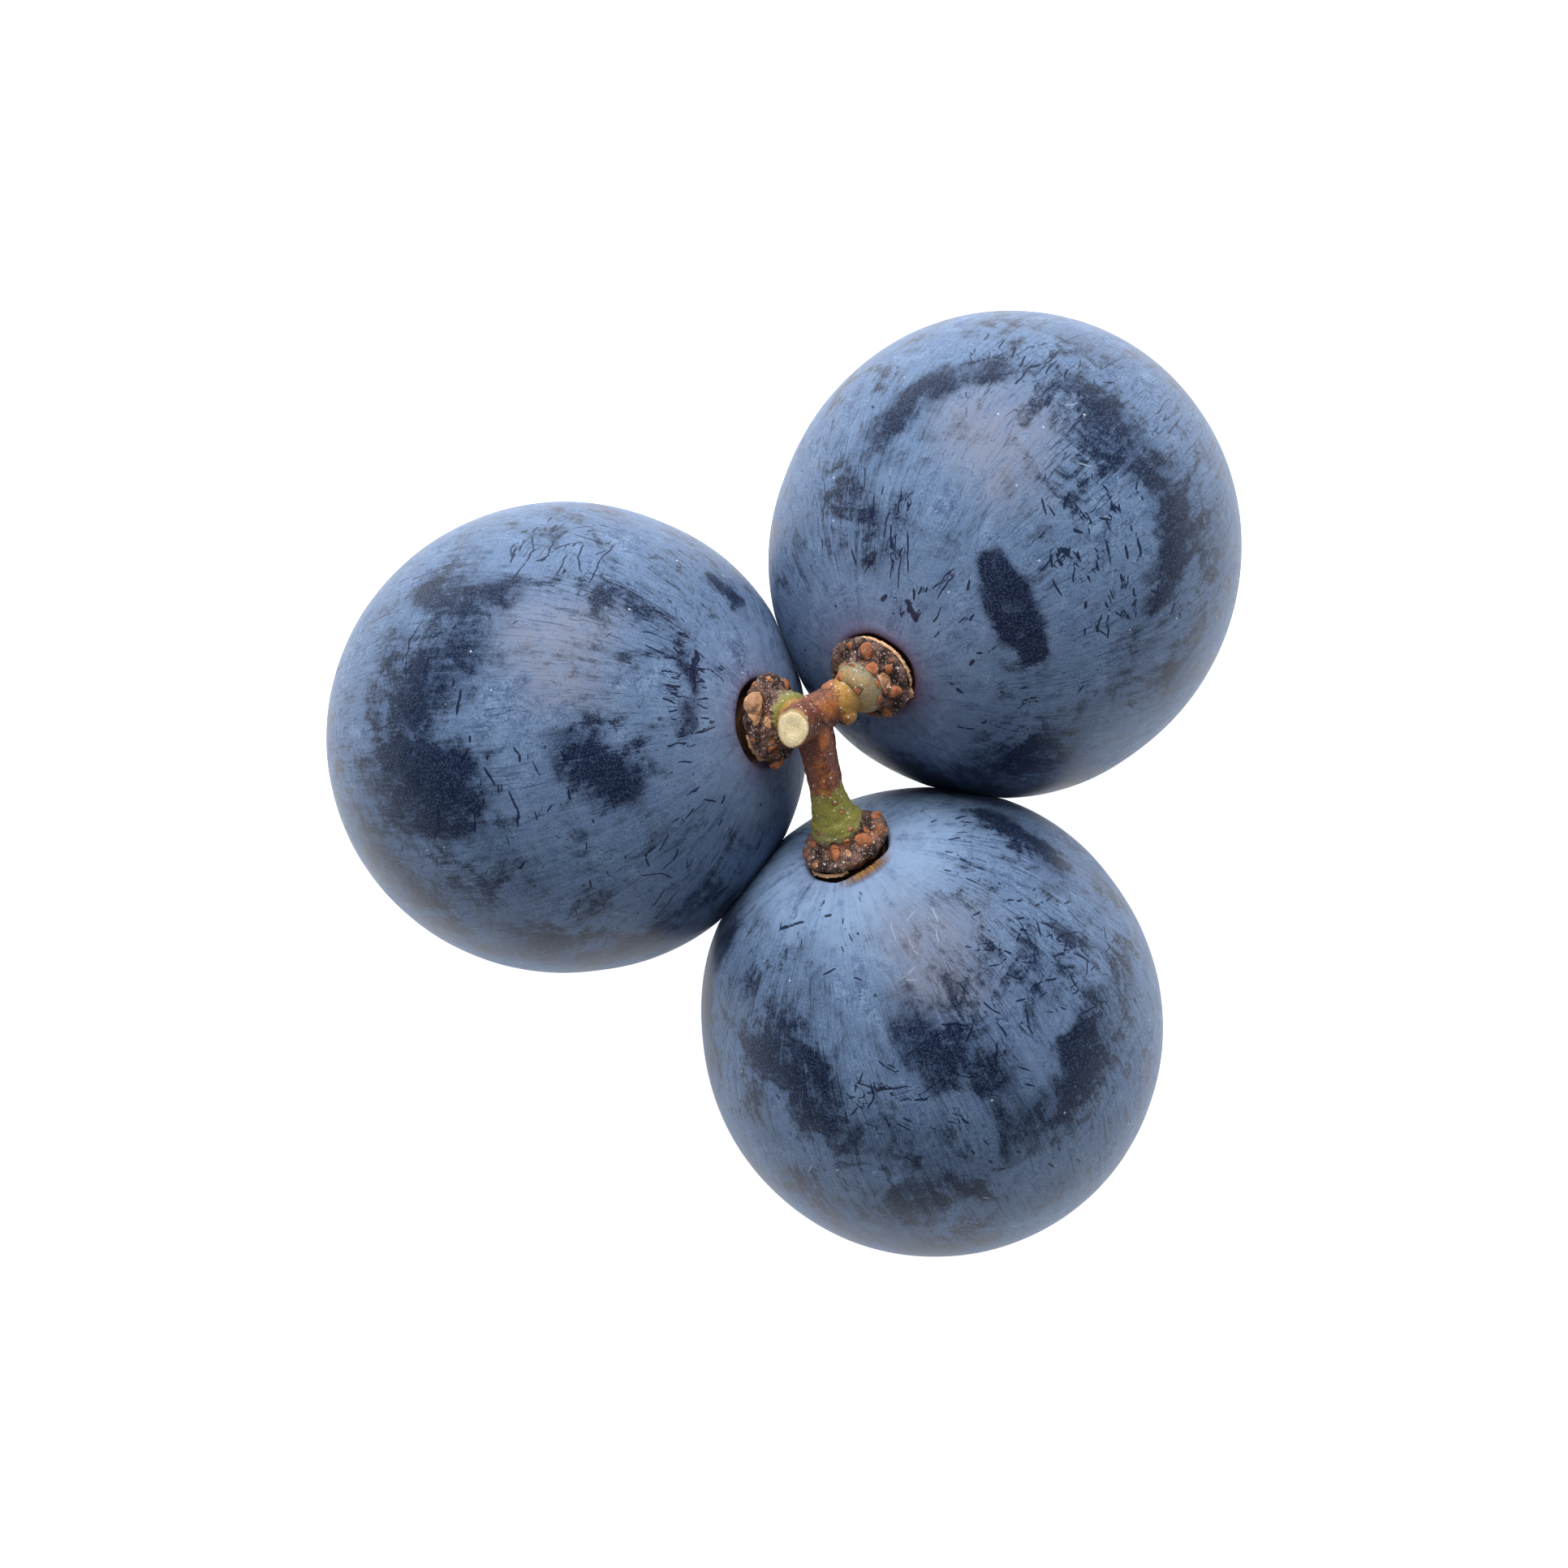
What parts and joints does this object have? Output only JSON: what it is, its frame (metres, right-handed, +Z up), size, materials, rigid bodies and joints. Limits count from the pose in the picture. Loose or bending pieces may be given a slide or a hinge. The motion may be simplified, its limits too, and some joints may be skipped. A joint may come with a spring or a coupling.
{
  "type": "bunch of grapes",
  "caption": "Small cut bunch of round blue-black grapes with a waxy bloom, joined by a forked woody stem with warty swellings, lying on a surface.",
  "frame": {"origin": "on the surface that the bunch lies on, under the middle of its outline seen from above", "axes": "+Z up, away from the surface; +X from the left berry towards the right berries' side, +Y from the front berry towards the right berry"},
  "size_m": [0.0484, 0.05, 0.0253],
  "materials": {
    "berry_left_skin": "satin",
    "berry_right_skin": "satin",
    "berry_front_skin": "satin",
    "stem_bark": "matte"
  },
  "bodies": {
    "root": {"berry_left": "berry_left_skin", "berry_right": "berry_right_skin", "berry_front": "berry_front_skin", "stem": "stem_bark"}
  },
  "joints": []
}
